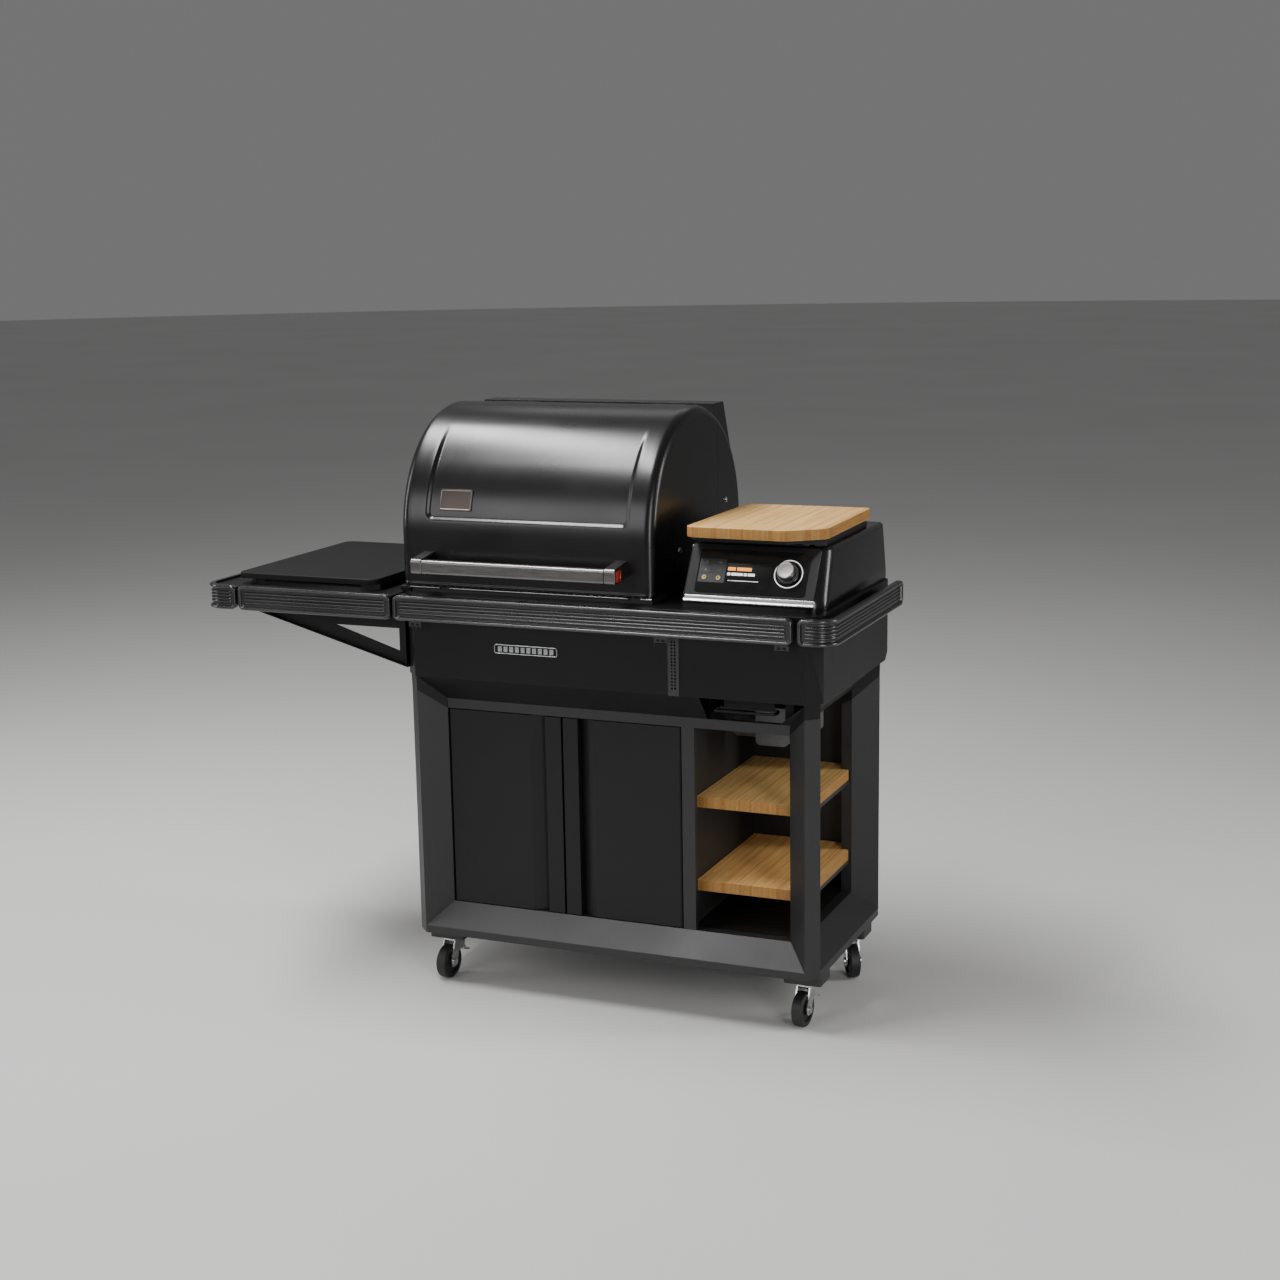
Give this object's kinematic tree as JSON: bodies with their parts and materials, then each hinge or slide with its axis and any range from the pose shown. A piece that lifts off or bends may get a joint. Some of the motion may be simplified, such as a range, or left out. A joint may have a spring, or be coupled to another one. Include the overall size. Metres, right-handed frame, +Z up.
{
  "type": "pellet smoker grill",
  "caption": "Barrel wood-pellet smoker grill on a cabinet cart with side shelf, accessory rail, pellet hopper, dial control panel and bamboo shelves.",
  "frame": {"origin": "centre of the overall box on the floor", "axes": "+X to the right seen from the front, +Y to the back, +Z up"},
  "size_m": [1.499, 0.635, 1.295],
  "materials": {
    "hood_enamel": "semi-gloss black high-temperature enamel, orange-peel texture",
    "frame_powder_coat": "fine-grain dark grey powder coat",
    "door_powder_coat": "satin black powder coat, fine texture",
    "skirt_paint": "satin black paint",
    "rail_paint": "textured graphite paint",
    "cover_paint": "matte charcoal paint",
    "handle_steel": "brushed stainless steel",
    "inner_enamel": "matte heat-resistant enamel",
    "grate_steel": "stainless steel rod",
    "galvanised": "galvanised sheet",
    "bamboo": "oiled bamboo",
    "fascia_plastic": "graphite metallic moulding",
    "panel_glass": "gloss black display lens",
    "key_rubber": "matte key",
    "knob_metal": "satin nickel",
    "jack_metal": "gold-plated jack ring",
    "caster_zinc": "bright zinc plating",
    "caster_tread": "black tread",
    "motor_metal": "cast gearbox",
    "inlet_plastic": "black moulding",
    "ceramic_glass": "black glass-ceramic"
  },
  "bodies": {
    "grill_body": {"base_frame": "frame_powder_coat", "top_frame": "skirt_paint", "cart_posts": "frame_powder_coat", "cabinet_floor": "door_powder_coat", "cabinet_panels": "door_powder_coat", "bamboo_shelves": "bamboo", "caster_pads": "skirt_paint", "body_skirt": "skirt_paint", "vent_strip": "skirt_paint", "deck_plate": "skirt_paint", "rear_shell": "hood_enamel", "exhaust_duct": "hood_enamel", "barrel_pan": "inner_enamel", "fire_pot": "inner_enamel", "heat_baffle": "inner_enamel", "drip_tray": "inner_enamel", "cooking_grates": "grate_steel", "hopper_bin": "galvanised", "auger_motor": "motor_metal", "fan_housing": "skirt_paint", "control_fascia": "fascia_plastic", "display_glass": "panel_glass", "probe_jacks": "jack_metal", "hopper_housing": "skirt_paint", "power_inlet": "inlet_plastic", "rail_left_corner": "rail_paint", "rail_left": "rail_paint", "rail_front": "rail_paint", "rail_right_corner": "rail_paint", "side_shelf": "skirt_paint", "shelf_braces": "skirt_paint", "induction_cooktop": "ceramic_glass"},
    "lid": {"lid_shell": "hood_enamel", "handle_bar": "handle_steel", "handle_brackets": "handle_steel"},
    "hopper_cover": {"hopper_lid": "skirt_paint", "bamboo_board": "bamboo"},
    "cooktop_lid": {"cooktop_cover": "cover_paint"},
    "dial_stem": {"dial_shaft": "grate_steel"},
    "dial": {"dial_knob": "knob_metal"},
    "left_door": {"door_left": "door_powder_coat"},
    "right_door": {"door_right": "door_powder_coat"},
    "keg": {"grease_keg": "skirt_paint"},
    "clean_out": {"clean_out_gate": "skirt_paint"},
    "auger_screw": {"auger": "grate_steel"},
    "fan": {"fan_impeller": "inlet_plastic"},
    "keycap_upper_left": {"key_upper_left": "key_rubber"},
    "keycap_upper_right": {"key_upper_right": "key_rubber"},
    "keycap_lower_left": {"key_lower_left": "key_rubber"},
    "keycap_lower_right": {"key_lower_right": "key_rubber"},
    "swivel_front_left": {"caster_fork_front_left": "caster_zinc"},
    "wheel_front_left": {"caster_wheel_front_left": "caster_tread"},
    "lever_front_left": {"brake_lever_front_left": "caster_zinc"},
    "swivel_front_right": {"caster_fork_front_right": "caster_zinc"},
    "wheel_front_right": {"caster_wheel_front_right": "caster_tread"},
    "lever_front_right": {"brake_lever_front_right": "caster_zinc"},
    "swivel_rear_left": {"caster_fork_rear_left": "caster_zinc"},
    "wheel_rear_left": {"caster_wheel_rear_left": "caster_tread"},
    "swivel_rear_right": {"caster_fork_rear_right": "caster_zinc"},
    "wheel_rear_right": {"caster_wheel_rear_right": "caster_tread"}
  },
  "joints": [
    {"name": "lid_hinge", "type": "hinge", "parent": "grill_body", "child": "lid", "pos_m": [0.0335, 0.1375, 1.279], "axis": [-1, 0, 0], "range_deg": [0, 75]},
    {"name": "hopper_lid_hinge", "type": "hinge", "parent": "grill_body", "child": "hopper_cover", "pos_m": [0.54, 0.1605, 1.036], "axis": [-1, 0, 0], "range_deg": [0, 80]},
    {"name": "cooktop_cover_lift", "type": "slide", "parent": "grill_body", "child": "cooktop_lid", "axis": [0, 0, 1], "range_m": [0, 0.15]},
    {"name": "left_door_hinge", "type": "hinge", "parent": "grill_body", "child": "left_door", "pos_m": [-0.161, -0.2285, 0.4], "axis": [0, 0, -1], "range_deg": [0, 100]},
    {"name": "right_door_hinge", "type": "hinge", "parent": "grill_body", "child": "right_door", "pos_m": [0.377, -0.2285, 0.4], "axis": [0, 0, 1], "range_deg": [0, 100]},
    {"name": "keg_slide", "type": "slide", "parent": "grill_body", "child": "keg", "axis": [0, -1, 0], "range_m": [0, 0.09]},
    {"name": "clean_out_slide", "type": "slide", "parent": "grill_body", "child": "clean_out", "axis": [0, -1, 0], "range_m": [0, 0.07]},
    {"name": "auger_spin", "type": "hinge", "parent": "grill_body", "child": "auger_screw", "pos_m": [0.6, -0.0275, 0.705], "axis": [1, 0, 0], "continuous": true},
    {"name": "fan_spin", "type": "hinge", "parent": "grill_body", "child": "fan", "pos_m": [0.24, 0.0575, 0.64], "axis": [0, 0, 1], "continuous": true},
    {"name": "dial_press", "type": "slide", "parent": "grill_body", "child": "dial_stem", "axis": [0, 0.8611, -0.5085], "range_m": [0, 0.001], "stiffness_N_per_m": 1500, "springref_m": -0.001},
    {"name": "dial_spin", "type": "hinge", "parent": "dial_stem", "child": "dial", "pos_m": [0.621, -0.22459, 0.97947], "axis": [0, -0.8611, 0.5085], "continuous": true},
    {"name": "key_press_upper_left", "type": "slide", "parent": "grill_body", "child": "keycap_upper_left", "axis": [0, 0.8611, -0.5085], "range_m": [0, 0.0008], "stiffness_N_per_m": 400, "springref_m": -0.0006},
    {"name": "key_press_upper_right", "type": "slide", "parent": "grill_body", "child": "keycap_upper_right", "axis": [0, 0.8611, -0.5085], "range_m": [0, 0.0008], "stiffness_N_per_m": 400, "springref_m": -0.0006},
    {"name": "key_press_lower_left", "type": "slide", "parent": "grill_body", "child": "keycap_lower_left", "axis": [0, 0.8611, -0.5085], "range_m": [0, 0.0008], "stiffness_N_per_m": 400, "springref_m": -0.0006},
    {"name": "key_press_lower_right", "type": "slide", "parent": "grill_body", "child": "keycap_lower_right", "axis": [0, 0.8611, -0.5085], "range_m": [0, 0.0008], "stiffness_N_per_m": 400, "springref_m": -0.0006},
    {"name": "swivel_turn_front_left", "type": "hinge", "parent": "grill_body", "child": "swivel_front_left", "pos_m": [-0.196, -0.2015, 0.088], "axis": [0, 0, 1], "continuous": true},
    {"name": "wheel_spin_front_left", "type": "hinge", "parent": "swivel_front_left", "child": "wheel_front_left", "pos_m": [-0.198, -0.22441, 0.0375], "axis": [0.9962, -0.0872, 0], "continuous": true},
    {"name": "brake_press_front_left", "type": "hinge", "parent": "swivel_front_left", "child": "lever_front_left", "pos_m": [-0.19452, -0.18457, 0.072], "axis": [-0.9962, 0.0872, 0], "range_deg": [0, 12]},
    {"name": "swivel_turn_front_right", "type": "hinge", "parent": "grill_body", "child": "swivel_front_right", "pos_m": [0.655, -0.2015, 0.088], "axis": [0, 0, 1], "continuous": true},
    {"name": "wheel_spin_front_right", "type": "hinge", "parent": "swivel_front_right", "child": "wheel_front_right", "pos_m": [0.65299, -0.22441, 0.0375], "axis": [0.9962, -0.0872, 0], "continuous": true},
    {"name": "brake_press_front_right", "type": "hinge", "parent": "swivel_front_right", "child": "lever_front_right", "pos_m": [0.65648, -0.18457, 0.072], "axis": [-0.9962, 0.0872, 0], "range_deg": [0, 12]},
    {"name": "swivel_turn_rear_left", "type": "hinge", "parent": "grill_body", "child": "swivel_rear_left", "pos_m": [-0.196, 0.1135, 0.088], "axis": [0, 0, 1], "continuous": true},
    {"name": "wheel_spin_rear_left", "type": "hinge", "parent": "swivel_rear_left", "child": "wheel_rear_left", "pos_m": [-0.2075, 0.09358, 0.0375], "axis": [0.866, -0.5, 0], "continuous": true},
    {"name": "swivel_turn_rear_right", "type": "hinge", "parent": "grill_body", "child": "swivel_rear_right", "pos_m": [0.655, 0.1135, 0.088], "axis": [0, 0, 1], "continuous": true},
    {"name": "wheel_spin_rear_right", "type": "hinge", "parent": "swivel_rear_right", "child": "wheel_rear_right", "pos_m": [0.6665, 0.09358, 0.0375], "axis": [0.866, 0.5, 0], "continuous": true}
  ]
}
